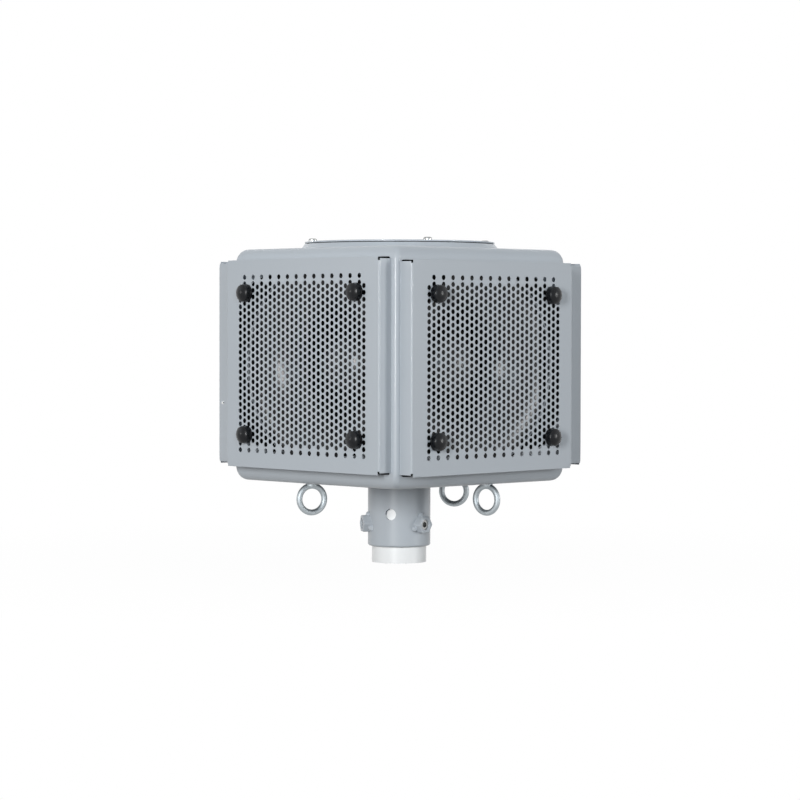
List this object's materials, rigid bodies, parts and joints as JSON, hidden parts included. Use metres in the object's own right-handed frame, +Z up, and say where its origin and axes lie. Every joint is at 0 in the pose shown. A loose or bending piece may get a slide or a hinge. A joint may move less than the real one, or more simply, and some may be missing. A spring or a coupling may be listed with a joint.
{
  "type": "siren loudspeaker head",
  "caption": "Cube-shaped siren loudspeaker head with perforated grilles on all sides, a round lid, guy eyes and a clamp socket on a mast stub.",
  "frame": {"origin": "middle of the mast stub's cut lower end", "axes": "+Z up along the mast, -Y out of the front grille, +X out of the right grille"},
  "size_m": [0.3514, 0.3514, 0.3754],
  "materials": {
    "mast_white": "white semi-gloss paint",
    "cabinet_paint": "blue-grey satin powder coat",
    "grille_paint": "blue-grey satin powder coat on punched sheet",
    "gasket_rubber": "matt black",
    "screw_steel": "plain stainless steel",
    "stud_black": "black moulded plastic",
    "flare_black": "black moulded plastic with a soft shine",
    "dome_black": "black moulded dome",
    "eye_zinc": "zinc-plated forged steel"
  },
  "bodies": {
    "root": {"mast": "mast_white", "socket": "cabinet_paint", "nut_right": "cabinet_paint", "nut_back": "cabinet_paint", "nut_front": "cabinet_paint", "clamp_right": "screw_steel", "clamp_back": "screw_steel", "clamp_front": "screw_steel", "cabinet": "cabinet_paint", "lid_collar": "cabinet_paint", "lid_gasket": "gasket_rubber", "lid": "cabinet_paint", "lid_screws": "screw_steel", "grille_front": "grille_paint", "grille_right": "grille_paint", "grille_back": "grille_paint", "grille_left": "grille_paint", "flange_rivet": "screw_steel", "studs_front": "stud_black", "studs_right": "stud_black", "studs_back": "stud_black", "studs_left": "stud_black", "flare_front": "flare_black", "flare_right": "flare_black", "flare_back": "flare_black", "flare_left": "flare_black", "dome_front": "dome_black", "dome_right": "dome_black", "dome_back": "dome_black", "dome_left": "dome_black", "eye_right": "eye_zinc", "eye_back": "eye_zinc", "eye_front": "eye_zinc"}
  },
  "joints": []
}
